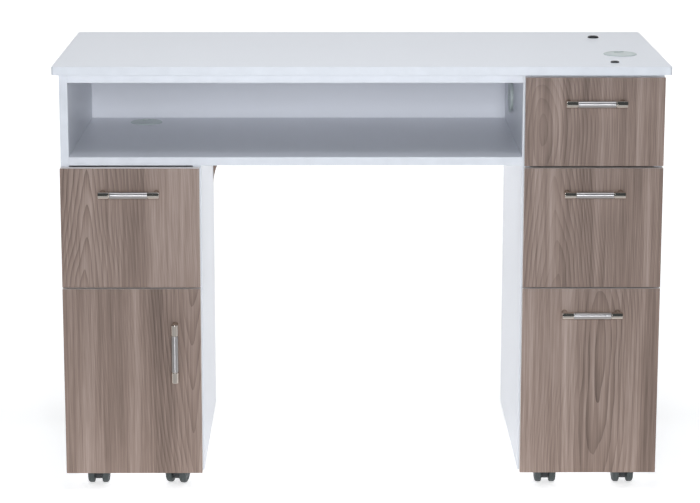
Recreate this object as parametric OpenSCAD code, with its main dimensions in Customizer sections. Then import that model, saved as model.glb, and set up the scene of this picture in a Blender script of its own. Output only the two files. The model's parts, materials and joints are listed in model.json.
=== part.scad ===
// Manicure table: a desktop on two pedestals, with an open cubby, four drawers,
// one cupboard door and eight swivel casters.
// Millimetres. +Z is up, the front faces -Y, and the floor is z = 0.
// The origin is under the middle of the whole object, handles included.

/* [Desktop] */
// Width of the desktop
desk_w = 1100; // [1040:5:1160]
// Depth of the desktop
desk_d = 450; // [440:5:500]
// Height of the desktop's top face above the floor
desk_h = 790; // [780:1:820]
// Thickness of every carcass board, front and shelf
board = 15; // [14:0.5:16]
// Radius of the desktop's corners in plan
corner_r = 5; // [4:1:25]

/* [Pedestals] */
// How far the desktop stands past each outer side board
side_overhang = 10; // [5:1:30]
// Outside width of each pedestal
pedestal_w = 252; // [250:1:270]
// Height of the lower ends of the side boards above the floor
foot_gap = 35; // [33:1:38]
// Thickness of the thin back panels of the pedestals
back_t = 5; // [3:0.5:6]

/* [Cubby] */
// Height of the cubby floor's top face above the floor
shelf_top = 622; // [620:1:626]
// Height of the rail under the desktop's front
rail_h = 18; // [15:1:22]
// Depth of the rails, front to back
rail_d = 60; // [40:5:90]
// Side of the square gusset under the cubby floor
gusset_side = 120; // [115:1:140]
// Radius of the gusset's hollow edge
gusset_r = 100; // [80:1:105]

/* [Fronts] */
// Width of the drawer fronts and of the door
front_w = 249; // [247:0.5:250]
// How far the fronts stand behind the desktop's front edge
front_setback = 10; // [8:1:12]
// Gap between the fronts and the carcass
front_gap = 2; // [2:0.5:3]
// Height of the door and of the lowest drawer front
lower_front_h = 348; // [346:1:350]
// Gap above the lower fronts
lower_gap = 3; // [2:0.5:4]
// Height of the left drawer front and of the middle drawer front
middle_front_h = 219; // [217:1:220]
// Gap under the uppermost right drawer front
upper_gap = 4; // [3:0.5:5]
// Height of the uppermost right drawer front
top_front_h = 160; // [150:1:162]

/* [Drawers] */
// Length of the drawer boxes and of their slides
slide_len = 400; // [350:10:405]
// Room that one slide takes between a side board and a drawer box
slide_t = 12.7; // [12.5:0.1:13]
// Height of a cabinet slide member
slide_h = 36; // [30:1:40]
// Thickness of the drawer box boards
box_t = 12; // [10:1:13]
// Thickness of the drawer bottoms
box_bottom_t = 5; // [3:0.5:6]

/* [Handles] */
// Length of a bar handle
handle_len = 109; // [106:1:130]
// How far a handle stands out of its front
handle_out = 32; // [30:1:36]
// Diameter of a handle's end sections
handle_d = 13; // [12:0.1:13.4]
// Distance between a handle's posts
post_pitch = 96; // [94:1:98]
// Distance of a drawer handle below the top edge of its front
handle_drop = 44; // [30:1:60]

/* [Door] */
// Height of the middle of the door handle above the floor
door_handle_z = 269; // [200:1:300]
// Distance from the door handle to the door's free edge
door_handle_edge = 46; // [30:1:60]
// Distance of each hinge from the door's top or bottom edge
hinge_inset = 75; // [60:1:90]
// Height of the inner shelf's top face above the floor
inner_shelf_top = 220; // [200:1:240]

/* [Grommets and bushings] */
// Flange diameter of the cable grommets
grommet_d = 61; // [60:1:64]
// Bore of the rear lamp bushing
lamp_bore_d = 12.5; // [10:0.5:13]
// Bore of the front accessory bushing
front_bore_d = 8.5; // [6:0.5:9]

/* [Casters] */
// Height of a caster, from the floor to its bottom board
caster_h = 50; // [48:1:52]
// Diameter of the caster wheels
wheel_d = 40; // [38:1:40]
// Width of one caster wheel
wheel_w = 12.5; // [10:0.5:12.5]
// Clear width between the two wheels of a caster
wheel_gap = 14; // [13:0.5:14]
// Distance from a caster's swivel axis to its axle
trail = 10; // [8:1:10]
// Turn at rest of the inner left front caster
turned_caster = -12; // [-60:1:60]

/* [Hidden] */
$fn = 64;
DRAWER_NAMES = ["left", "top", "middle", "bottom"];
CASTER_COUNT = 8;

// Colours
white = [0.92, 0.93, 0.96];
wood = [0.57, 0.51, 0.47];
steel = [0.72, 0.73, 0.75];
chrome = [0.85, 0.86, 0.88];
cap_grey = [0.78, 0.81, 0.80];
black = [0.10, 0.11, 0.13];
tread_grey = [0.24, 0.26, 0.26];

// Small distance that lets a cut run past a face
eps = 1;

// Positions along X, as distances from the middle
x_out = desk_w/2 - side_overhang;     // outer face of an outer side board
x_in = x_out - pedestal_w;            // knee-space face of an inner side board
x_clear_out = x_out - board;          // the faces that the drawers run between
x_clear_in = x_in + board;
x_box_out = x_clear_out - slide_t;    // outer faces of a drawer box
x_box_in = x_clear_in + slide_t;
x_front_mid = x_out - front_w/2;      // middle of a drawer front

// Positions along Y
handle_past_desk = handle_out - front_setback;
y_desk = handle_past_desk - (desk_d + handle_past_desk)/2;
y_back = y_desk + desk_d;
y_face = y_desk + front_setback;
y_front_back = y_face + board;
y_carcass = y_front_back + front_gap;
y_panel = y_back - 2 - back_t;        // front face of the thin back panels
y_cubby_back = y_back - 3 - board;    // front face of the cubby's back board

// Positions along Z
z_under_desk = desk_h - board;
z_shelf = shelf_top - board;
z_bottom = caster_h;                  // underside of the bottom boards
z_lower_top = foot_gap + lower_front_h;
z_middle = z_lower_top + lower_gap;
z_middle_top = z_middle + middle_front_h;
z_top = z_middle_top + upper_gap;
z_top_top = z_top + top_front_h;
z_divider = z_lower_top + lower_gap/2 - board/2;

// Drawers, in the order of their names: side (-1 left, 1 right), then the lower and upper
// ends of the front, then those of the box
DRAWERS = [
    [-1, z_middle, z_middle_top, z_middle + 16, z_middle + 174],
    [1, z_top, z_top_top, z_top + 13, z_top + 129],
    [1, z_middle, z_middle_top, z_middle + 16, z_middle + 174],
    [1, foot_gap, z_lower_top, z_bottom + board + 11, z_bottom + board + 235]
];
runner_drop = 32;                     // middle of a slide above the box's lower edge
groove = 5;                           // depth of the grooves that hold a drawer bottom
bottom_rise = 10;                     // drawer bottom above the box's lower edge

// Slides
sheet = 1.2;                          // thickness of the slides' steel
channel_depth = 11;
runner_h = slide_h - 8;
runner_depth = 9;

// Handles
handle_mid_d = handle_d - 0.4;
handle_mid_len = 67;
handle_neck = 1;
handle_neck_d = handle_d - 1.6;
post_d = 8;
screw_d = 4;
screw_hole_d = 4.2;
screw_head_d = 8;
screw_head_h = 3;
screw_bite = 10;

// Grommets: positions on the desktop, on the cubby floor and in the cubby's right wall
DESK_GROMMET = [476, y_desk + 154];
CUBBY_GROMMET = [-414, y_desk + 382];
SIDE_GROMMET = [y_desk + 271, 692];
side_grommet_out = 4;                 // how far it stands out of the wall, not pushed home
grommet_seat = 0.8;                   // depth that a flange is let into its board
grommet_flange = 2.2;
grommet_sleeve_r = grommet_d/2 - 3.8;
grommet_sleeve_h = board - 1;
grommet_cap_r = grommet_sleeve_r - 2.4;

// Bushings: position, flange diameter, dome height, sleeve radius, bore
LAMP_BUSHING = [[451, y_desk + 369], 21, 3.2, 8.5, lamp_bore_d];
FRONT_BUSHING = [[454, y_desk + 54], 15.6, 2.2, 6, front_bore_d];

// Hinges: the arm's pivot, and the link's elbow and tip inside the cup
LINK_PIVOT = [-x_out + 35.9, y_face + 17.9];
LINK_ELBOW = [-x_out + 20.2, y_face + 5.8];
LINK_TIP = [-x_out + 9.3, y_face + 9.7];
HINGE_Z = [foot_gap + hinge_inset, z_lower_top - hinge_inset];
cup_r = 17.5;
cup_depth = 11.5;
cup_wall = 0.8;
cup_x = -x_out + 4 + cup_r;
cup_flange = 0.8;
link_w = 8;
link_t = 2;
link_elbow_r = 1.2;
link_tip_r = 1.3;
pivot_r = 1.25;
pivot_play = 0.06;
arm_r = 2;                            // radius of the arm's nose and of the link's eye

// Inner shelf
SHELF_PIN_Y = [y_carcass + 50, y_panel - 50];
pin_d = 5;
pin_hole = 8;
pin_pitch = 32;

// Casters: swivel axis and turn at rest
y_caster_front = y_desk + 54;
y_caster_back = y_back - 45;
x_caster_out = x_out - 54;
x_caster_in = x_in + 54;
CASTERS = [
    [-x_caster_out, y_caster_front, 0], [-x_caster_in, y_caster_front, turned_caster],
    [x_caster_in, y_caster_front, 0], [x_caster_out, y_caster_front, 0],
    [-x_caster_out, y_caster_back, 0], [-x_caster_in, y_caster_back, 0],
    [x_caster_in, y_caster_back, 0], [x_caster_out, y_caster_back, 0]
];
wheel_r = wheel_d/2;
plate_side = 40;
plate_t = 2.5;
race_r = 12;
race_t = 2.5;
king_r = 3;
king_head_r = 6;
king_head_h = 1.2;
king_depth = 13;                      // how far a king pin reaches into its fork
axle_r = 2.5;
play = 0.05;                          // radial play of the king pins and axles
fork_web = 12;
fork_top = caster_h - plate_t - race_t - 0.3;
neck_t = 3.4;
hub_r = 13;
caster_screw_d = 3.5;
caster_screw_len = 12;
caster_screw_pitch = 30;

// A box between two opposite corners, in any order along X
module block(a, b) {
    translate([min(a.x, b.x), a.y, a.z]) cube([abs(b.x - a.x), b.y - a.y, b.z - a.z]);
}

// A cylinder along Y that starts at p
module rod_y(p, d, len) {
    translate(p) rotate([-90, 0, 0]) cylinder(d = d, h = len);
}

// A cylinder along X that starts at p
module rod_x(p, d, len) {
    translate(p) rotate([0, 90, 0]) cylinder(d = d, h = len);
}

// ---------------------------------------------------------------- carcass

module desktop_outline() {
    w = desk_w - 2*corner_r;
    translate([-w/2, y_desk]) square([w, desk_d]);
    translate([-desk_w/2, y_desk + corner_r]) square([desk_w, desk_d - 2*corner_r]);
    for (x = [-w/2, w/2], y = [y_desk + corner_r, y_back - corner_r])
        translate([x, y]) circle(r = corner_r);
}

// The hole and the shallow seat that a flanged fitting takes, from the board's face down
module fitting_hole(p, sleeve_r, flange_r) {
    translate([p.x, p.y, z_under_desk - eps]) cylinder(r = sleeve_r, h = board + 2*eps);
    translate([p.x, p.y, desk_h - grommet_seat]) cylinder(r = flange_r, h = grommet_seat + eps);
}

module desktop() {
    color(white) difference() {
        translate([0, 0, z_under_desk]) linear_extrude(board) desktop_outline();
        fitting_hole(DESK_GROMMET, grommet_sleeve_r, grommet_d/2);
        for (b = [LAMP_BUSHING, FRONT_BUSHING]) fitting_hole(b[0], b[3], b[1]/2);
    }
}

// A full-depth side board whose outward face is at x, to the height top
module side_board(x, inward, top) {
    block([x, y_carcass, foot_gap], [x + inward*board, y_back, top]);
}

// Rows of holes for the shelf pins, drilled from the compartment into a side board
module pin_holes(x) {
    for (y = SHELF_PIN_Y, k = [-2:2])
        rod_x([x, y, inner_shelf_top - board - pin_d/2 + k*pin_pitch], pin_d, pin_hole);
}

module left_outer_side() {
    color(white) difference() {
        side_board(-x_out, 1, z_under_desk);
        pin_holes(-x_clear_out - pin_hole);
    }
}

module left_inner_side() {
    color(white) difference() {
        side_board(-x_in, -1, z_shelf);
        pin_holes(-x_clear_in);
    }
}

module right_inner_side() {
    color(white) difference() {
        side_board(x_in, 1, z_under_desk);
        rod_x([x_in - eps, SIDE_GROMMET[0], SIDE_GROMMET[1]], 2*grommet_sleeve_r, board + 2*eps);
        rod_x([x_in - eps, SIDE_GROMMET[0], SIDE_GROMMET[1]], grommet_d, grommet_seat + eps);
    }
}

module right_outer_side() {
    color(white) side_board(x_out, -1, z_under_desk);
}

module cubby_shelf() {
    color(white) difference() {
        block([-x_clear_out, y_carcass, z_shelf], [x_in, y_back - 3, shelf_top]);
        translate([CUBBY_GROMMET.x, CUBBY_GROMMET.y, z_shelf - eps])
            cylinder(r = grommet_sleeve_r, h = board + 2*eps);
        translate([CUBBY_GROMMET.x, CUBBY_GROMMET.y, shelf_top - grommet_seat])
            cylinder(r = grommet_d/2, h = grommet_seat + eps);
    }
}

module cubby_back() {
    color(white) block([-x_clear_out, y_cubby_back, shelf_top], [x_in, y_back - 3, z_under_desk]);
}

module top_rails() {
    color(white) {
        block([-x_clear_out, y_carcass, z_under_desk - rail_h],
              [x_in, y_carcass + rail_d, z_under_desk]);
        block([x_clear_in, y_carcass, z_under_desk - board],
              [x_clear_out, y_carcass + rail_d, z_under_desk]);
    }
}

module pedestal_bottoms() {
    color(white) difference() {
        for (s = [-1, 1])
            block([s*x_clear_in, y_carcass, z_bottom], [s*x_clear_out, y_panel, z_bottom + board]);
        for (c = CASTERS) caster_screw_places(c)
            translate([0, 0, -eps]) cylinder(d = caster_screw_d, h = caster_screw_len + eps);
    }
}

module pedestal_backs() {
    color(white) {
        block([-x_clear_in, y_panel, z_bottom], [-x_clear_out, y_panel + back_t, z_shelf]);
        block([x_clear_in, y_panel, z_bottom], [x_clear_out, y_panel + back_t, z_under_desk]);
    }
}

module left_divider() {
    color(white)
        block([-x_clear_in, y_carcass, z_divider], [-x_clear_out, y_panel, z_divider + board]);
}

// The brace in the rear corner between the left pedestal and the cubby floor
module corner_gusset() {
    lip = gusset_side - gusset_r;
    color(wood) translate([-x_in, y_back, z_shelf - gusset_side]) rotate([90, 0, 0])
        linear_extrude(board) difference() {
            square(gusset_side);
            translate([gusset_r, 0]) circle(r = gusset_r, $fn = 128);
            translate([gusset_r, -eps]) square([lip + eps, gusset_r + eps]);
        }
}

module inner_shelf() {
    color(white) block([-x_clear_in - 1, y_carcass + 18, inner_shelf_top - board],
                       [-x_clear_out + 1, y_panel - 3, inner_shelf_top]);
}

module shelf_pins() {
    z = inner_shelf_top - board - pin_d/2;
    color(steel) for (y = SHELF_PIN_Y) {
        rod_x([-x_clear_out - pin_hole, y, z], pin_d, 2*pin_hole);
        rod_x([-x_clear_in - pin_hole, y, z], pin_d, 2*pin_hole);
    }
}

// ---------------------------------------------------------------- drawers

// The C-shaped section of a slide member: its web at x = 0, its lips toward +X
module slide_section(h, depth) {
    difference() {
        translate([0, -h/2]) square([depth, h]);
        translate([sheet, -h/2 + sheet]) square([depth, h - 2*sheet]);
    }
}

// A slide member with its web at x, its lips along dir, and its middle at height z
module slide_member(x, dir, z, h, depth, y, len) {
    translate([x, y + len, z]) rotate([90, 0, 0]) linear_extrude(len)
        mirror([dir < 0 ? 1 : 0, 0]) slide_section(h, depth);
}

module slide_channels() {
    color(steel) for (d = DRAWERS) {
        z = d[3] + runner_drop;
        slide_member(d[0]*x_clear_out, -d[0], z, slide_h, channel_depth, y_carcass + 3, slide_len - 6);
        slide_member(d[0]*x_clear_in, d[0], z, slide_h, channel_depth, y_carcass + 3, slide_len - 6);
    }
}

module drawer_runners(d) {
    z = d[3] + runner_drop;
    color(steel) {
        slide_member(d[0]*x_box_out, d[0], z, runner_h, runner_depth, y_front_back, slide_len);
        slide_member(d[0]*x_box_in, -d[0], z, runner_h, runner_depth, y_front_back, slide_len);
    }
}

// A front board of the common width, on side s, with clear holes for the handle's screws
module front_board(s, z0, z1, screws) {
    color(wood) difference() {
        block([s*(x_out - front_w), y_face, z0], [s*x_out, y_front_back, z1]);
        for (p = screws) rod_y([p.x, y_face - eps, p.y], screw_hole_d, board + 2*eps);
    }
}

function drawer_screws(d) =
    [for (k = [-1, 1]) [d[0]*x_front_mid + k*post_pitch/2, d[2] - handle_drop]];

function door_screws() =
    [for (k = [-1, 1]) [-x_out + front_w - door_handle_edge, door_handle_z + k*post_pitch/2]];

module drawer_front(d) {
    front_board(d[0], d[1], d[2], drawer_screws(d));
}

// The two sides, the back and the grooved-in bottom of a drawer
module drawer_box(d) {
    s = d[0];
    z_floor = d[3] + bottom_rise;
    y_end = y_front_back + slide_len;
    in_a = x_box_in + box_t;
    in_b = x_box_out - box_t;
    color(white) {
        difference() {
            block([s*x_box_in, y_front_back, d[3]], [s*in_a, y_end, d[4]]);
            block([s*(in_a - groove), y_front_back - eps, z_floor],
                  [s*(in_a + eps), y_end + eps, z_floor + box_bottom_t]);
        }
        difference() {
            block([s*in_b, y_front_back, d[3]], [s*x_box_out, y_end, d[4]]);
            block([s*(in_b - eps), y_front_back - eps, z_floor],
                  [s*(in_b + groove), y_end + eps, z_floor + box_bottom_t]);
        }
        block([s*in_a, y_end - box_t, z_floor + box_bottom_t], [s*in_b, y_end, d[4]]);
        block([s*(in_a - groove), y_front_back, z_floor],
              [s*(in_b + groove), y_end, z_floor + box_bottom_t]);
    }
}

// A bar handle along X about its middle, with its posts toward +Y, and its two screws
module bar_handle() {
    reach = handle_out - handle_d/2;
    end_len = (handle_len - handle_mid_len)/2 - handle_neck;
    color(chrome) {
        difference() {
            union() {
                rod_x([-handle_mid_len/2, 0, 0], handle_mid_d, handle_mid_len);
                rod_x([-handle_mid_len/2 - handle_neck, 0, 0], handle_neck_d,
                      handle_mid_len + 2*handle_neck);
                rod_x([-handle_len/2, 0, 0], handle_d, end_len);
                rod_x([handle_len/2 - end_len, 0, 0], handle_d, end_len);
                for (k = [-1, 1]) rod_y([k*post_pitch/2, 0, 0], post_d, reach);
            }
            for (k = [-1, 1])
                rod_y([k*post_pitch/2, reach - screw_bite, 0], screw_hole_d, screw_bite + eps);
        }
        for (k = [-1, 1]) {
            rod_y([k*post_pitch/2, reach - screw_bite + 0.5, 0], screw_d, screw_bite + board - 0.5);
            rod_y([k*post_pitch/2, reach + board, 0], screw_head_d, screw_head_h);
        }
    }
}

module drawer_handle(d) {
    translate([d[0]*x_front_mid, y_face - handle_out + handle_d/2, d[2] - handle_drop]) bar_handle();
}

// ---------------------------------------------------------------- door

module door_panel() {
    difference() {
        front_board(-1, foot_gap, z_lower_top, door_screws());
        for (z = HINGE_Z)
            rod_y([cup_x, y_front_back - cup_depth, z], 2*cup_r, cup_depth + eps);
    }
}

module door_handle() {
    translate([-x_out + front_w - door_handle_edge, y_face - handle_out + handle_d/2, door_handle_z])
        rotate([0, 90, 0]) bar_handle();
}

// The pressed cups in the door, each with a thin flange and its two ears
module hinge_cups() {
    color(steel) for (z = HINGE_Z) difference() {
        union() {
            rod_y([cup_x, y_front_back - cup_depth, z], 2*cup_r, cup_depth);
            rod_y([cup_x, y_front_back, z], 2*cup_r + 2, cup_flange);
            block([cup_x - 6, y_front_back, z - 26], [cup_x + 6, y_front_back + cup_flange, z + 26]);
        }
        rod_y([cup_x, y_front_back - cup_depth + cup_wall, z], 2*(cup_r - cup_wall),
              cup_depth + cup_flange);
    }
}

// A straight stretch of a bent link, drawn in plan
module link_leg(p, q) {
    d = q - p;
    translate(p) rotate(atan2(d.y, d.x)) translate([0, -link_t/2]) square([norm(d), link_t]);
}

// The bent links between the arms and the cups
module hinge_links() {
    color(steel) for (z = HINGE_Z) translate([0, 0, z - link_w/2]) linear_extrude(link_w)
        difference() {
            union() {
                link_leg(LINK_PIVOT, LINK_ELBOW);
                link_leg(LINK_ELBOW, LINK_TIP);
                translate(LINK_PIVOT) circle(r = arm_r);
                translate(LINK_ELBOW) circle(r = link_elbow_r);
                translate(LINK_TIP) circle(r = link_tip_r);
            }
            translate(LINK_PIVOT) circle(r = pivot_r + pivot_play);
        }
}

// The arms on the side board: a mounting plate, a channel, two cheeks and the link's pin
module hinge_arms() {
    cheek = 1.5;
    slot = link_w/2 + 0.4;
    plate = 2;
    nose = LINK_PIVOT.x + arm_r;
    y_plate = y_carcass + 22;
    y_arm = y_carcass + 12;
    arm_len = 40;
    color(steel) for (z = HINGE_Z) {
        block([-x_clear_out, y_plate, z - 24], [-x_clear_out + plate, y_plate + 20, z + 24]);
        difference() {
            block([-x_clear_out, y_arm, z - slot - cheek], [nose, y_arm + arm_len, z + slot + cheek]);
            block([-x_clear_out + plate, y_arm - eps, z - slot],
                  [nose - 1.2, y_arm + arm_len + eps, z + slot]);
        }
        for (k = [-1, 1]) translate([0, 0, z + k*(slot + cheek/2) - cheek/2]) {
            translate([LINK_PIVOT.x - arm_r, LINK_PIVOT.y, 0])
                cube([2*arm_r, y_arm + eps - LINK_PIVOT.y, cheek]);
            translate([LINK_PIVOT.x, LINK_PIVOT.y, 0]) cylinder(r = arm_r, h = cheek);
        }
        translate([LINK_PIVOT.x, LINK_PIVOT.y, z - slot - cheek/2])
            cylinder(r = pivot_r, h = 2*slot + cheek);
    }
}

// ---------------------------------------------------------------- grommets, bushings

// A flanged ring about Z, its flange seated at z = 0
module grommet_ring() {
    seat_r = grommet_cap_r + 0.3;
    ledge_r = grommet_cap_r - 1.5;
    top = grommet_flange - grommet_seat;
    rotate_extrude() polygon([
        [ledge_r, -grommet_sleeve_h], [grommet_sleeve_r, -grommet_sleeve_h],
        [grommet_sleeve_r, -grommet_seat], [grommet_d/2, -grommet_seat],
        [grommet_d/2, top - 1], [grommet_d/2 - 1, top], [seat_r, top],
        [seat_r, -grommet_seat - 0.6], [ledge_r, -grommet_seat - 0.6]
    ]);
}

// The disc that closes a grommet, with the notch that a cable passes
module grommet_cap() {
    top = grommet_flange - grommet_seat - 0.2;
    notch_w = 18;
    notch_d = 11;
    difference() {
        translate([0, 0, -grommet_seat - 0.5]) cylinder(r = grommet_cap_r, h = top + grommet_seat + 0.5);
        translate([-notch_w/2, grommet_cap_r - notch_d, -grommet_sleeve_h])
            cube([notch_w, notch_d + eps, 2*grommet_sleeve_h]);
    }
}

module at_desk_grommet() {
    translate([DESK_GROMMET.x, DESK_GROMMET.y, desk_h]) children();
}

module at_cubby_grommet() {
    translate([CUBBY_GROMMET.x, CUBBY_GROMMET.y, shelf_top]) children();
}

module at_side_grommet() {
    translate([x_in - side_grommet_out, SIDE_GROMMET[0], SIDE_GROMMET[1]])
        rotate([0, -90, 0]) children();
}

module grommet_rings() {
    color(cap_grey) {
        at_desk_grommet() grommet_ring();
        at_cubby_grommet() grommet_ring();
        at_side_grommet() grommet_ring();
    }
}

module desk_grommet_cap() {
    color(cap_grey) at_desk_grommet() grommet_cap();
}

module cubby_grommet_cap() {
    color(cap_grey) at_cubby_grommet() grommet_cap();
}

module side_grommet_cap() {
    color(cap_grey) at_side_grommet() grommet_cap();
}

// A domed black bushing: b = position, flange diameter, dome height, sleeve radius, bore
module bushing(b) {
    rim = 1;
    chamfer = b[2] - rim;
    translate([b[0].x, b[0].y, desk_h]) rotate_extrude() polygon([
        [b[4]/2, -board], [b[3], -board], [b[3], -grommet_seat], [b[1]/2, -grommet_seat],
        [b[1]/2, rim], [b[1]/2 - 0.4*chamfer, rim + 0.6*chamfer],
        [b[1]/2 - chamfer, b[2]], [b[4]/2, b[2]]
    ]);
}

module lamp_bushings() {
    color(black) {
        bushing(LAMP_BUSHING);
        bushing(FRONT_BUSHING);
    }
}

// ---------------------------------------------------------------- casters

// Puts its children at the four screws of caster c, at the underside of the bottom board
module caster_screw_places(c) {
    for (dx = [-1, 1], dy = [-1, 1])
        translate([c.x + dx*caster_screw_pitch/2, c.y + dy*caster_screw_pitch/2, z_bottom])
            children();
}

// A mounting plate with its ball race, bored for its king pin
module caster_plate(c) {
    difference() {
        union() {
            translate([c.x - plate_side/2, c.y - plate_side/2, z_bottom - plate_t])
                cube([plate_side, plate_side, plate_t]);
            translate([c.x, c.y, z_bottom - plate_t - race_t]) cylinder(r = race_r, h = race_t);
        }
        translate([c.x, c.y, z_bottom - plate_t - race_t - eps])
            cylinder(r = king_r + play, h = plate_t + race_t + 2*eps);
        translate([c.x, c.y, z_bottom - king_head_h])
            cylinder(r = king_head_r + play, h = king_head_h + eps);
        caster_screw_places(c)
            translate([0, 0, -plate_t - eps]) cylinder(d = caster_screw_d, h = plate_t + 2*eps);
    }
}

module caster_plates() {
    color(steel) for (c = CASTERS) caster_plate(c);
}

// The rivets that the forks turn on, their heads sunk in the plates
module caster_king_pins() {
    color(steel) for (c = CASTERS) {
        translate([c.x, c.y, z_bottom - king_head_h]) cylinder(r = king_head_r, h = king_head_h);
        translate([c.x, c.y, fork_top - king_depth])
            cylinder(r = king_r, h = z_bottom - fork_top + king_depth);
    }
}

module caster_screws() {
    head_h = 2;
    color(steel) for (c = CASTERS) caster_screw_places(c) {
        translate([0, 0, -plate_t - head_h]) cylinder(d = 2*caster_screw_d, h = head_h);
        translate([0, 0, -plate_t]) cylinder(d = caster_screw_d, h = plate_t + caster_screw_len);
    }
}

// Puts its children at caster c, turned as it stands
module at_caster(c) {
    translate([c.x, c.y, 0]) rotate([0, 0, c.z]) children();
}

// The web between the wheels, drawn in its own plane: forward distance, height
module fork_outline() {
    translate([trail, wheel_r]) circle(r = hub_r);
    polygon([[-9, fork_top], [11, fork_top], [trail + hub_r - 0.8, wheel_r + 4], [trail, wheel_r],
             [trail - hub_r + 0.8, wheel_r - 2]]);
}

// The swivelling body: a round neck on a web that carries the axle
module caster_fork(c) {
    color(black) at_caster(c) difference() {
        union() {
            translate([0, 0, fork_top - neck_t]) cylinder(r = race_r, h = neck_t);
            translate([-fork_web/2, 0, 0]) rotate([90, 0, 90]) linear_extrude(fork_web) fork_outline();
        }
        translate([0, 0, fork_top - king_depth - 0.5])
            cylinder(r = king_r + play, h = king_depth + 0.5 + eps);
        rod_x([-fork_web/2 - eps, trail, wheel_r], 2*(axle_r + play), fork_web + 2*eps);
    }
}

// Half of a wheel's section: radius, then distance out from the fork
module wheel_section() {
    soft = 5.5;
    tight = 3;
    difference() {
        union() {
            translate([axle_r, 0]) square([wheel_r - soft - axle_r, wheel_w]);
            translate([axle_r, tight]) square([wheel_r - axle_r, wheel_w - tight - soft]);
            translate([axle_r, 0]) square([wheel_r - tight - axle_r, tight]);
            translate([wheel_r - tight, tight]) circle(r = tight);
            translate([wheel_r - soft, wheel_w - soft]) circle(r = soft);
        }
        translate([7, wheel_w - 1]) square([7, 2]);
    }
}

// Two wheels on one axle
module caster_wheels(c) {
    hub_cap = 1.5;
    color(tread_grey) at_caster(c) translate([0, trail, wheel_r]) {
        for (s = [-1, 1]) rotate([0, s*90, 0]) translate([0, 0, wheel_gap/2]) {
            rotate_extrude() wheel_section();
            translate([0, 0, wheel_w - hub_cap]) cylinder(r = axle_r, h = hub_cap);
        }
        rod_x([-wheel_gap/2 - wheel_w + hub_cap, 0, 0], 2*axle_r,
              wheel_gap + 2*wheel_w - 2*hub_cap);
    }
}

// ---------------------------------------------------------------- nodes

desktop();
left_outer_side();
left_inner_side();
right_inner_side();
right_outer_side();
cubby_shelf();
cubby_back();
top_rails();
pedestal_bottoms();
pedestal_backs();
left_divider();
corner_gusset();
inner_shelf();
shelf_pins();
slide_channels();
grommet_rings();
desk_grommet_cap();
cubby_grommet_cap();
side_grommet_cap();
lamp_bushings();
door_panel();
door_handle();
hinge_cups();
hinge_links();
hinge_arms();
caster_plates();
caster_king_pins();
caster_screws();
for (k = [0:len(DRAWERS) - 1]) {
    name = str(DRAWER_NAMES[k], "_drawer_");
    drawer_front(DRAWERS[k]);
    drawer_box(DRAWERS[k]);
    drawer_handle(DRAWERS[k]);
    drawer_runners(DRAWERS[k]);
}
for (k = [1:CASTER_COUNT]) {
    caster_fork(CASTERS[k - 1]);
    caster_wheels(CASTERS[k - 1]);
}
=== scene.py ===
"""Looks for a manicure table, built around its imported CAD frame.

Metres, +Z up, the fronts face -Y. Sizes that come from the CAD model are read from the frame.
"""

import json
import math

import bmesh
import bpy
from mathutils import Matrix, Vector


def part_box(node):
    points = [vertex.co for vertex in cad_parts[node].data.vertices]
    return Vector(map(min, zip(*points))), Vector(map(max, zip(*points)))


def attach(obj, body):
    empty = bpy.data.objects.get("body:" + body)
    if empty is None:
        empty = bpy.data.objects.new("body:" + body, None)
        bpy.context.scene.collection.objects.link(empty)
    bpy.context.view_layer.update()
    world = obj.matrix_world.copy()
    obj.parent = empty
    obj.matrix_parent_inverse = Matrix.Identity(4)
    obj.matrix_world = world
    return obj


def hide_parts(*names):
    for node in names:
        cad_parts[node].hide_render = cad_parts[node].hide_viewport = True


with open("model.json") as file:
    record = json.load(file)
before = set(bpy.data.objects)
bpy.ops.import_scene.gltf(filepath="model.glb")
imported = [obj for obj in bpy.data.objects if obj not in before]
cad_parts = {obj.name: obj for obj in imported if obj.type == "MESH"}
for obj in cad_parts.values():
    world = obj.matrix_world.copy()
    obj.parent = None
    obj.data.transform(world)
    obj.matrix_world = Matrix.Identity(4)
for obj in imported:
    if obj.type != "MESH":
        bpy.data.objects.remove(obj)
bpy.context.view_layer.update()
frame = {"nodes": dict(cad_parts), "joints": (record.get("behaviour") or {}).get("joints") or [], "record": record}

JOINTS = {joint["name"]: joint for joint in frame["joints"]}
BODY_OF = {node: body for body, nodes in frame["record"]["behaviour"]["bodies"].items() for node in nodes}
DRAWERS = ("left_drawer", "top_drawer", "middle_drawer", "bottom_drawer")

# ---------------------------------------------------------------- camera, floor, light

CAMERA_AT = (-0.05607, -4.12981, 1.39761)
CAMERA_YAW = 0.00888       # radians, to the right of straight on
CAMERA_PITCH = 0.19098     # radians, down from level
CAMERA_ROLL = 0.00126
CAMERA_LENS = 115.217      # millimetres, on a 36 mm sensor
CAMERA_SHIFT_Y = -0.145
SENSOR_WIDTH = 36
DAYLIGHT = (0.92, 0.945, 1.0)
SKY = (0.80, 0.93, 1.0)
SKY_STRENGTH = 0.10


def add_camera():
    data = bpy.data.cameras.new("camera")
    data.sensor_width = SENSOR_WIDTH
    data.sensor_fit = "HORIZONTAL"
    data.lens = CAMERA_LENS
    data.shift_y = CAMERA_SHIFT_Y
    data.clip_end = 100
    camera = bpy.data.objects.new("camera", data)
    turn = (Matrix.Rotation(-CAMERA_YAW, 4, "Z") @ Matrix.Rotation(math.pi / 2 - CAMERA_PITCH, 4, "X")
            @ Matrix.Rotation(CAMERA_ROLL, 4, "Z"))
    camera.matrix_world = Matrix.Translation(CAMERA_AT) @ turn
    bpy.context.scene.collection.objects.link(camera)
    bpy.context.scene.camera = camera


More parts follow.
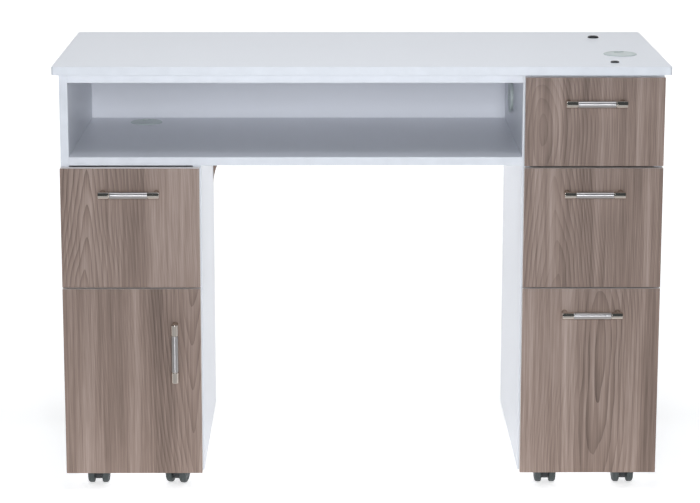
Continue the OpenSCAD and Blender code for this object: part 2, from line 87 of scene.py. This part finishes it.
def add_light(name, at, towards, size, watts):
    """A rectangular lamp at a place, turned towards another."""
    data = bpy.data.lights.new(name, "AREA")
    data.shape = "RECTANGLE"
    data.size, data.size_y = size
    data.energy = watts
    data.color = DAYLIGHT
    lamp = bpy.data.objects.new(name, data)
    aim = (Vector(towards) - Vector(at)).to_track_quat("-Z", "Y")
    lamp.matrix_world = Matrix.Translation(at) @ aim.to_matrix().to_4x4()
    bpy.context.scene.collection.objects.link(lamp)


def add_world():
    """A dim studio: the polished metal shows it dark, and the lamps do the lighting."""
    world = bpy.data.worlds.new("studio")
    world.use_nodes = True
    background = world.node_tree.nodes["Background"]
    background.inputs["Color"].default_value = (*SKY, 1)
    background.inputs["Strength"].default_value = SKY_STRENGTH
    bpy.context.scene.world = world
    bpy.context.scene.view_settings.view_transform = "Standard"


def add_floor():
    """A pale floor that curves up into a wall far behind the table."""
    half_width, near, far, bend, height = 9.0, -9.0, 5.0, 2.5, 7.0
    steps = 16
    route = [(near, 0.0), (far, 0.0)]
    route += [(far + bend * math.sin(a), bend - bend * math.cos(a))
              for a in (math.pi / 2 * k / steps for k in range(1, steps + 1))]
    route.append((far + bend, height))
    bm = bmesh.new()
    rows = [[bm.verts.new((x, y, z)) for x in (-half_width, half_width)] for y, z in route]
    for a, b in zip(rows, rows[1:]):
        bm.faces.new((a[0], a[1], b[1], b[0])).smooth = True
    mesh = bpy.data.meshes.new("floor")
    bm.to_mesh(mesh)
    bm.free()
    mesh.materials.append(floor_material())
    floor = bpy.data.objects.new("floor", mesh)
    bpy.context.scene.collection.objects.link(floor)


# ---------------------------------------------------------------- shader nodes

def set_input(tree, socket, value):
    """Links a socket to value when value is a socket, and sets it otherwise."""
    if isinstance(value, bpy.types.NodeSocket):
        tree.links.new(value, socket)
    elif socket.type == "RGBA" and len(value) == 3:
        socket.default_value = (*value, 1)
    else:
        socket.default_value = value


def maths(tree, operation, a, b=0.0, clamp=False):
    node = tree.nodes.new("ShaderNodeMath")
    node.operation = operation
    node.use_clamp = clamp
    set_input(tree, node.inputs[0], a)
    set_input(tree, node.inputs[1], b)
    return node.outputs[0]


def object_place(tree):
    return tree.nodes.new("ShaderNodeTexCoord").outputs["Object"]


def stretched(tree, vector, scale, offset=(0, 0, 0)):
    node = tree.nodes.new("ShaderNodeMapping")
    node.inputs["Scale"].default_value = scale
    node.inputs["Location"].default_value = offset
    tree.links.new(vector, node.inputs["Vector"])
    return node.outputs[0]


def noise(tree, vector, scale=1.0, detail=2.0, roughness=0.5):
    node = tree.nodes.new("ShaderNodeTexNoise")
    node.inputs["Scale"].default_value = scale
    node.inputs["Detail"].default_value = detail
    node.inputs["Roughness"].default_value = roughness
    tree.links.new(vector, node.inputs["Vector"])
    return node.outputs["Fac"]


def mixed(tree, factor, a, b):
    node = tree.nodes.new("ShaderNodeMix")
    node.data_type = "RGBA"
    set_input(tree, node.inputs["Factor"], factor)
    set_input(tree, node.inputs[6], a)
    set_input(tree, node.inputs[7], b)
    return node.outputs[2]


def between(tree, value, low, high, out_low=0.0, out_high=1.0):
    """Maps value from low..high to out_low..out_high, clamped."""
    node = tree.nodes.new("ShaderNodeMapRange")
    set_input(tree, node.inputs["Value"], value)
    for socket, number in zip(("From Min", "From Max", "To Min", "To Max"), (low, high, out_low, out_high)):
        node.inputs[socket].default_value = number
    return node.outputs[0]


def principled(name, colour=(0.8, 0.8, 0.8), roughness=0.5, metallic=0.0, **sockets):
    """A material with one Principled shader. Returns the material, its tree and the shader."""
    material = bpy.data.materials.new(name)
    material.use_nodes = True
    tree = material.node_tree
    shader = tree.nodes["Principled BSDF"]
    shader.inputs["Base Color"].default_value = (*colour, 1)
    shader.inputs["Roughness"].default_value = roughness
    shader.inputs["Metallic"].default_value = metallic
    for socket, value in sockets.items():
        shader.inputs[socket.replace("_", " ")].default_value = value
    return material, tree, shader


def shades(colour, darker, lighter):
    """A darker and a lighter shade of a colour."""
    return tuple(c * darker for c in colour), tuple(min(1, c * lighter) for c in colour)


def bump(tree, shader, height, distance, strength=1.0):
    node = tree.nodes.new("ShaderNodeBump")
    node.inputs["Strength"].default_value = strength
    node.inputs["Distance"].default_value = distance
    tree.links.new(height, node.inputs["Height"])
    tree.links.new(node.outputs[0], shader.inputs["Normal"])


# ---------------------------------------------------------------- materials

GLOW_STARTS, GLOW_FULL = -0.75, -0.30       # y, in front of the table
WALL_STARTS, WALL_FULL = 0.3, 2.5           # y, behind it
GLOW, WALL_GAIN = 0.58, 1.5


def floor_material():
    """A pale studio sweep, lit from beneath under and behind the table so that it stays white there."""
    material, tree, shader = principled("floor", roughness=0.7, Specular_IOR_Level=0.2)
    place = object_place(tree)
    grain = noise(tree, place, 3.0, 3.0)
    shade = mixed(tree, grain, (0.84, 0.83, 0.82), (0.86, 0.85, 0.84))
    tree.links.new(shade, shader.inputs["Base Color"])
    split = tree.nodes.new("ShaderNodeSeparateXYZ")
    tree.links.new(place, split.inputs[0])
    shader.inputs["Emission Color"].default_value = (1, 1, 1, 1)
    near = between(tree, split.outputs["Y"], GLOW_STARTS, GLOW_FULL, 0.0, GLOW)
    far = between(tree, split.outputs["Y"], WALL_STARTS, WALL_FULL, 1.0, WALL_GAIN)
    tree.links.new(maths(tree, "MULTIPLY", near, far), shader.inputs["Emission Strength"])
    return material


def melamine(name, colour, roughness=0.36):
    """White laminate: a very slight pearl texture and an uneven gloss."""
    material, tree, shader = principled(name, colour, roughness, Specular_IOR_Level=0.45)
    place = object_place(tree)
    cloud = noise(tree, place, 5.0, 3.0)
    shade = mixed(tree, cloud, *shades(colour, 0.985, 1.01))
    tree.links.new(shade, shader.inputs["Base Color"])
    pearl = noise(tree, place, 900.0, 2.0, 0.6)
    gloss = between(tree, pearl, 0.3, 0.7, roughness - 0.04, roughness + 0.06)
    tree.links.new(gloss, shader.inputs["Roughness"])
    bump(tree, shader, pearl, 0.00004, 0.35)
    return material


WOOD_DARK = (0.102, 0.068, 0.052)
WOOD_MID = (0.268, 0.190, 0.152)
WOOD_LIGHT = (0.480, 0.372, 0.318)
RING_COUNT = 95.0          # growth rings in a metre at the heart
RING_CROWDING = 420.0      # how much closer they come, by the square of the distance
WANDER, RIPPLE = 0.045, 0.006
RING_DEPTH = 0.42
BROAD, STREAKS, PORES = 0.40, 0.38, 0.24    # shares of the three layers of grain


def wood(name, heart, closing, rise, seed):
    """Wood-grain laminate, its grain up the board. The rings stand about heart, a place (x, z):
    closing makes them close into knots above and below it, and rise makes them climb to points."""
    material, tree, shader = principled(name, WOOD_MID, 0.46, Specular_IOR_Level=0.4)
    place = object_place(tree)
    shift = (seed * 3.1, seed * 1.7, seed * 2.3)

    def layer(scale, detail=2.0, rough=0.5):
        return noise(tree, stretched(tree, place, scale, shift), 1.0, detail, rough)

    wander = maths(tree, "SUBTRACT", layer((7, 7, 3.2)), 0.5)
    ripple = maths(tree, "SUBTRACT", layer((45, 45, 13)), 0.5)
    split = tree.nodes.new("ShaderNodeSeparateXYZ")
    tree.links.new(place, split.inputs[0])
    across = maths(tree, "SUBTRACT", split.outputs["X"], heart[0])
    across = maths(tree, "ADD", across, maths(tree, "MULTIPLY", wander, WANDER))
    along = maths(tree, "SUBTRACT", split.outputs["Z"], heart[1])
    squares = maths(tree, "POWER", across, 2.0)
    squares = maths(tree, "ADD", squares, maths(tree, "POWER", maths(tree, "MULTIPLY", along, closing), 2.0))
    radius = maths(tree, "SQRT", maths(tree, "ADD", squares, 0.00003))
    climb = maths(tree, "ADD", radius, maths(tree, "MULTIPLY", along, rise))
    climb = maths(tree, "ADD", climb, maths(tree, "MULTIPLY", ripple, RIPPLE))
    # the rings crowd together away from the heart, and fade there
    turns = maths(tree, "ADD", maths(tree, "MULTIPLY", climb, RING_COUNT),
                  maths(tree, "MULTIPLY", maths(tree, "POWER", radius, 2.0), RING_CROWDING))
    late = maths(tree, "POWER", maths(tree, "FRACT", maths(tree, "ADD", turns, 100.0)), 2.5)
    fade = between(tree, radius, 0.03, 0.13, 1.0, 0.3)
    patch = between(tree, layer((16, 16, 3), 1.0), 0.35, 0.65, 0.25, 1.0)
    late = maths(tree, "MULTIPLY", late, maths(tree, "MULTIPLY", fade, patch))
    broad = between(tree, layer((30, 30, 0.9), 2.0, 0.55), 0.3, 0.7)
    streaks = between(tree, layer((170, 170, 3.0), 3.0, 0.65), 0.28, 0.72)
    pores = between(tree, layer((700, 700, 14.0), 2.0, 0.6), 0.3, 0.7)
    tone = maths(tree, "MULTIPLY", broad, BROAD)
    tone = maths(tree, "ADD", tone, maths(tree, "MULTIPLY", streaks, STREAKS))
    tone = maths(tree, "ADD", tone, maths(tree, "MULTIPLY", pores, PORES))
    tone = maths(tree, "SUBTRACT", tone, maths(tree, "MULTIPLY", late, RING_DEPTH), clamp=True)
    tone = maths(tree, "ADD", tone, 0.04, clamp=True)
    low = mixed(tree, between(tree, tone, 0.0, 0.5), WOOD_DARK, WOOD_MID)
    shade = mixed(tree, between(tree, tone, 0.5, 1.0), low, WOOD_LIGHT)
    tree.links.new(shade, shader.inputs["Base Color"])
    tree.links.new(between(tree, tone, 0.0, 1.0, 0.56, 0.42), shader.inputs["Roughness"])
    bump(tree, shader, tone, 0.00012, 0.5)
    return material


def edge_band(name, colour):
    """Plastic edging with fine streaks along it."""
    material, tree, shader = principled(name, colour, 0.4)
    place = object_place(tree)
    streak = noise(tree, stretched(tree, place, (40, 900, 40)), 1.0, 2.0)
    shade = mixed(tree, streak, *shades(colour, 0.93, 1.06))
    tree.links.new(shade, shader.inputs["Base Color"])
    bump(tree, shader, streak, 0.00003, 0.4)
    return material


def metal(name, colour, roughness, spread=0.05, grain=(400, 400, 400), depth=0.00001, turned=None):
    """Polished or turned metal: turned names the axis that the fine tool lines run around."""
    material, tree, shader = principled(name, colour, roughness, 1.0)
    if turned:
        tangent = tree.nodes.new("ShaderNodeTangent")
        tangent.direction_type, tangent.axis = "RADIAL", turned
        tree.links.new(tangent.outputs["Tangent"], shader.inputs["Tangent"])
        shader.inputs["Anisotropic"].default_value = 0.9
        shader.inputs["Anisotropic Rotation"].default_value = 0.25
    marks = noise(tree, stretched(tree, object_place(tree), grain), 1.0, 3.0, 0.6)
    rough = between(tree, marks, 0.25, 0.75, max(0.02, roughness - spread), roughness + spread)
    tree.links.new(rough, shader.inputs["Roughness"])
    bump(tree, shader, marks, depth, 0.4)
    return material


def zinc(name):
    """Zinc-plated steel: a faint cloudy bloom over a bright grey."""
    material, tree, shader = principled(name, (0.62, 0.63, 0.65), 0.32, 1.0)
    place = object_place(tree)
    bloom = noise(tree, place, 90.0, 3.0, 0.6)
    shade = mixed(tree, bloom, (0.52, 0.53, 0.56), (0.70, 0.71, 0.71))
    tree.links.new(shade, shader.inputs["Base Color"])
    tree.links.new(between(tree, bloom, 0.2, 0.8, 0.24, 0.42), shader.inputs["Roughness"])
    bump(tree, shader, noise(tree, place, 1500.0, 2.0), 0.00001, 0.4)
    return material


def moulded(name, colour, roughness, texture=1400.0, depth=0.00004):
    """Moulded plastic with a fine spark-eroded texture."""
    material, tree, shader = principled(name, colour, roughness, Specular_IOR_Level=0.5)
    place = object_place(tree)
    cloud = noise(tree, place, 60.0, 2.0)
    shade = mixed(tree, cloud, *shades(colour, 0.9, 1.1))
    tree.links.new(shade, shader.inputs["Base Color"])
    skin = noise(tree, place, texture, 2.0, 0.6)
    gloss = between(tree, skin, 0.3, 0.7, roughness - 0.06, roughness + 0.08)
    tree.links.new(gloss, shader.inputs["Roughness"])
    bump(tree, shader, skin, depth, 0.5)
    return material


WHITE = melamine("white_melamine", (0.84, 0.855, 0.895))
WHITE_EDGE = edge_band("white_edge_band", (0.82, 0.845, 0.88))
WOOD_EDGE = edge_band("wood_edge_band", (0.78, 0.73, 0.70))
# The boards' end faces in raw-chipboard brown. At each joint their rounding draws a thin dark line, which is
# painted shade of the gap between the boards.
RAW_EDGE_AND_GAP_SHADE = moulded("raw_chipboard_and_gap_shade", (0.26, 0.20, 0.15), 0.8, 700.0, 0.0001)
# The chrome's brightness is its own. Its warm beige tint is a painted reflection of a beige floor.
CHROME = metal("polished_chrome", (0.58, 0.52, 0.46), 0.06, 0.02)
SATIN_X = metal("satin_chrome", (0.46, 0.44, 0.43), 0.30, 0.03, (1500, 30, 30), turned="X")
SATIN_Z = metal("satin_chrome_upright", (0.46, 0.44, 0.43), 0.30, 0.03, (30, 30, 1500), turned="Z")
ZINC = zinc("zinc_plate")
GROMMET = moulded("grommet_plastic", (0.60, 0.66, 0.64), 0.42)
BLACK = moulded("black_plastic", (0.018, 0.020, 0.022), 0.42)
WHEEL = moulded("wheel_plastic", (0.045, 0.055, 0.055), 0.5, 700.0, 0.00008)

# ---------------------------------------------------------------- piece makers

SMOOTH_UP_TO = math.radians(50)
FLAT_BELOW = math.radians(0.5)
SHARP_ABOVE = math.radians(40)
WELD = 1e-6

def finish_piece(name, bm, materials, body, nodes=()):
    """Turns bm into an object that rides on body and stands for the CAD nodes."""
    mesh = bpy.data.meshes.new(name)
    bm.to_mesh(mesh)
    bm.free()
    for material in materials:
        mesh.materials.append(material)
    piece = bpy.data.objects.new(name, mesh)
    bpy.context.scene.collection.objects.link(piece)
    for polygon in mesh.polygons:
        polygon.use_smooth = True
    mesh.set_sharp_from_angle(angle=SMOOTH_UP_TO)
    weighted = piece.modifiers.new("weighted_normals", "WEIGHTED_NORMAL")
    weighted.keep_sharp = True
    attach(piece, body)
    if nodes:
        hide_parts(*nodes)
    return piece


def softened(node, width, materials, choose=None, segments=2):
    """A copy of a CAD node with its sharp edges rounded. choose(face) gives a material's index."""
    bm = bmesh.new()
    bm.from_mesh(frame["nodes"][node].data)
    bmesh.ops.remove_doubles(bm, verts=bm.verts, dist=WELD)
    bmesh.ops.dissolve_limit(bm, angle_limit=FLAT_BELOW, verts=bm.verts, edges=bm.edges)
    sharp = [edge for edge in bm.edges if edge.is_manifold and edge.calc_face_angle() > SHARP_ABOVE]
    bmesh.ops.bevel(bm, geom=sharp, offset=width, offset_type="OFFSET", segments=segments, profile=0.6,
                    affect="EDGES", clamp_overlap=True, miter_outer="SHARP")
    bm.normal_update()
    for face in bm.faces:
        face.material_index = choose(face) if choose else 0
    return finish_piece("look_" + node, bm, materials, BODY_OF[node], (node,))


def arc(centre, radius, start, end, steps=6):
    """Points of an arc, with its angles in degrees."""
    angles = [math.radians(start + (end - start) * k / steps) for k in range(steps + 1)]
    return [(centre[0] + radius * math.cos(a), centre[1] + radius * math.sin(a)) for a in angles]


def lathe(bm, profile, at, axis, segments=48, material=0):
    """Adds the solid that profile, a list of (along, radius), sweeps about axis from at."""
    turn = Vector(axis).to_track_quat("Z", "Y").to_matrix()
    rings = []
    for along, radius in profile:
        angles = [0] if radius == 0 else [2 * math.pi * k / segments for k in range(segments)]
        places = [Vector((radius * math.cos(a), radius * math.sin(a), along)) for a in angles]
        rings.append([bm.verts.new(turn @ place + Vector(at)) for place in places])
    for a, b in zip(rings, rings[1:]):
        for k in range(segments):
            n = (k + 1) % segments
            corners = [a[k % len(a)], a[n % len(a)], b[n % len(b)], b[k % len(b)]]
            unique = [v for i, v in enumerate(corners) if v not in corners[:i]]
            if len(unique) > 2:
                bm.faces.new(unique).material_index = material


def middle(low, high):
    return (low + high) / 2


# ---------------------------------------------------------------- boards

def make_white_boards():
    def edges_face_forward(face):
        if abs(face.normal.y) > 0.6:
            return 1
        return 2 if abs(face.normal.x) > 0.5 else 0

    def edges_stand(face):
        return 1 if abs(face.normal.z) < 0.6 else 0

    softened("desktop", 0.0010, (WHITE, WHITE_EDGE), edges_stand, 3)
    for node in ("left_outer_side", "left_inner_side", "right_inner_side", "right_outer_side"):
        softened(node, 0.0005, (WHITE, WHITE_EDGE), lambda face: 1 if abs(face.normal.y) > 0.6 else 0)
    for node in ("cubby_shelf", "top_rails", "pedestal_bottoms", "left_divider", "inner_shelf"):
        # End faces across x take the dark brown. Its line at each joint is painted shade of the gap.
        softened(node, 0.0006, (WHITE, WHITE_EDGE, RAW_EDGE_AND_GAP_SHADE), edges_face_forward)
    for node in ("cubby_back", "pedestal_backs"):
        softened(node, 0.0004, (WHITE,))


# Each front's grain: its heart, across from the left edge and up from the lower edge as shares of
# the front's size, then how far its rings close, how steeply they rise, and the noise seed
GRAIN = {
    "left_drawer_front": (0.17, 0.30, 0.0, 0.17, 1.0),
    "door_panel": (0.95, 0.55, 0.0, -0.13, 4.0),
    "top_drawer_front": (0.12, 0.47, 0.30, 0.09, 7.0),
    "middle_drawer_front": (0.23, 0.25, 0.0, 0.17, 9.0),
    "bottom_drawer_front": (0.55, 0.78, 0.16, 0.10, 12.0),
}


def make_fronts():
    def faces_out(face):
        return 0 if abs(face.normal.y) > 0.9 else 1

    for node, (across, up, closing, rise, seed) in GRAIN.items():
        low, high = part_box(node)
        heart = (low.x + across * (high.x - low.x), low.z + up * (high.z - low.z))
        softened(node, 0.0013, (wood("wood_" + node, heart, closing, rise, seed), WOOD_EDGE), faces_out)
    low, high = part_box("corner_gusset")
    grain = wood("wood_gusset", (low.x - 0.1, low.z), 0.2, 0.1, 20.0)
    softened("corner_gusset", 0.0006, (grain, WOOD_EDGE), faces_out)


def make_drawer_boxes():
    for drawer in DRAWERS:
        softened(drawer + "_box", 0.0005, (WHITE,))


# ---------------------------------------------------------------- handles

FRONT_THICKNESS = 0.015
END_LENGTH, NECK_LENGTH, NECK_DEPTH = 0.020, 0.001, 0.0008
TIP_SOFTNESS, MIDDLE_SOFTNESS = 0.0012, 0.0004
POST_TO_MIDDLE, POST_RADIUS, FLARE_LENGTH = 0.048, 0.0040, 0.0035
SCREW_HEAD = 0.003


def make_handle(node):
    """A bar with polished ends, a satin middle, two flared posts and their screws."""
    low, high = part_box(node)
    upright = high.z - low.z > high.x - low.x
    along = Vector((0, 0, 1)) if upright else Vector((1, 0, 0))
    size = high - low
    radius = (size.x if upright else size.z) / 2
    length = size.z if upright else size.x
    centre = Vector((middle(low.x, high.x), low.y + radius, middle(low.z, high.z)))
    face_y = high.y - SCREW_HEAD - FRONT_THICKNESS
    mid_r, neck_r = radius - 0.0002, radius - NECK_DEPTH
    neck_end = END_LENGTH + NECK_LENGTH
    mid_len = length - 2 * neck_end
    soft, rounder = TIP_SOFTNESS, TIP_SOFTNESS / 2

    bm = bmesh.new()
    for way in (-1, 1):
        tip = centre + along * way * length / 2
        profile = [(0, 0)] + arc((soft, radius - soft), soft, 180, 90)
        profile += arc((END_LENGTH - rounder, radius - rounder), rounder, 90, 0, 4)
        profile += [(END_LENGTH, neck_r), (neck_end, neck_r), (neck_end, 0)]
        lathe(bm, profile, tip, -along * way)
        post = centre + along * way * POST_TO_MIDDLE
        reach = face_y - centre.y
        flare = reach - FLARE_LENGTH
        profile = [(0, 0), (0, POST_RADIUS), (flare, POST_RADIUS)]
        profile += [(flare + d, POST_RADIUS + r)
                    for d, r in ((0.0010, 0.0002), (0.0020, 0.0007), (0.0025, 0.0012))]
        profile += [(reach - 0.0001, 0.0053), (reach, 0.0052), (reach, 0)]
        lathe(bm, profile, post, Vector((0, 1, 0)), 32)
    finish_piece("look_" + node + "_ends", bm, (CHROME,), BODY_OF[node], (node,))

    bm = bmesh.new()
    soft = MIDDLE_SOFTNESS
    profile = [(0, 0), (0, mid_r - soft), (soft, mid_r)]
    profile += [(mid_len - soft, mid_r), (mid_len, mid_r - soft), (mid_len, 0)]
    lathe(bm, profile, centre - along * mid_len / 2, along)
    satin = SATIN_Z if upright else SATIN_X
    finish_piece("look_" + node + "_middle", bm, (satin,), BODY_OF[node])

    bm = bmesh.new()
    for way in (-1, 1):
        head = centre + along * way * POST_TO_MIDDLE
        head.y = high.y
        profile = [(0, 0), (0, 0.0016), (0.0004, 0.0030), (0.0012, 0.0039), (0.0022, 0.0040)]
        profile += [(SCREW_HEAD, 0.0040), (SCREW_HEAD, 0.0020), (0.0170, 0.0020), (0.0170, 0)]
        lathe(bm, profile, head, Vector((0, -1, 0)), 32)
    finish_piece("look_" + node + "_screws", bm, (ZINC,), BODY_OF[node])


# ---------------------------------------------------------------- fittings

def make_fittings():
    for node in ("slide_channels", "hinge_arms", "hinge_cups", "hinge_links"):
        softened(node, 0.00025, (ZINC,), segments=1)
    for drawer in DRAWERS:
        softened(drawer + "_runners", 0.00025, (ZINC,), segments=1)
    softened("shelf_pins", 0.0006, (ZINC,))
    softened("grommet_rings", 0.0003, (GROMMET,))
    for node in ("desk_grommet_cap", "cubby_grommet_cap", "side_grommet_cap"):
        softened(node, 0.0005, (GROMMET,))
    softened("lamp_bushings", 0.0003, (BLACK,))


def make_casters():
    softened("caster_plates", 0.0004, (ZINC,))
    softened("caster_king_pins", 0.0004, (ZINC,))
    softened("caster_screws", 0.0005, (ZINC,))
    for k in range(1, 9):
        softened(f"caster_fork_{k}", 0.0006, (BLACK,))
        make_wheels(k)


def make_wheels(k):
    """A pair of rounded wheels on an axle, with a grooved tread and a domed hub cap."""
    node = f"caster_wheels_{k}"
    axle_r, axle_past = 0.0025, 0.001
    joint = JOINTS[f"wheels_{k}_roll"]
    hub, axis = Vector(joint["pos_m"]), Vector(joint["axis"])
    radius, width, gap = 0.020, 0.0125, 0.014
    inner, outer = 0.0030, 0.0055
    profile = [(0, axle_r)] + arc((inner, radius - inner), inner, 180, 90, 5)
    profile += arc((width - outer, radius - outer), outer, 90, 0, 8)
    profile += [(width, 0.0140), (width - 0.0010, 0.0135), (width - 0.0010, 0.0078)]
    profile += [(width - 0.0002, 0.0072), (width - 0.0001, 0.0040), (width - 0.0004, 0)]
    bm = bmesh.new()
    for way in (-1, 1):
        lathe(bm, profile, hub + axis * way * gap / 2, axis * way, 64)
    axle_len = gap + 2 * axle_past
    lathe(bm, [(0, 0), (0, axle_r), (axle_len, axle_r), (axle_len, 0)],
          hub - axis * (gap / 2 + axle_past), axis, 24, 1)
    finish_piece("look_" + node, bm, (WHEEL, ZINC), BODY_OF[node], (node,))


# ---------------------------------------------------------------- scene

add_camera()
add_world()
add_floor()
add_light("front", (0, -4.2, 1.2), (0, 0, 0.68), (1.0, 1.4), 80)
add_light("stripe", (-2.7, -4.0, 0.6), (-0.3, 0, 0.3), (0.35, 1.0), 4)
add_light("over", (0, -0.75, 3.1), (0, -0.6, 0), (1.0, 2.0), 33)
make_white_boards()
make_fronts()
make_drawer_boxes()
for owner in (*DRAWERS, "door"):
    make_handle(owner + "_handle")
make_fittings()
make_casters()

bpy.context.view_layer.update()
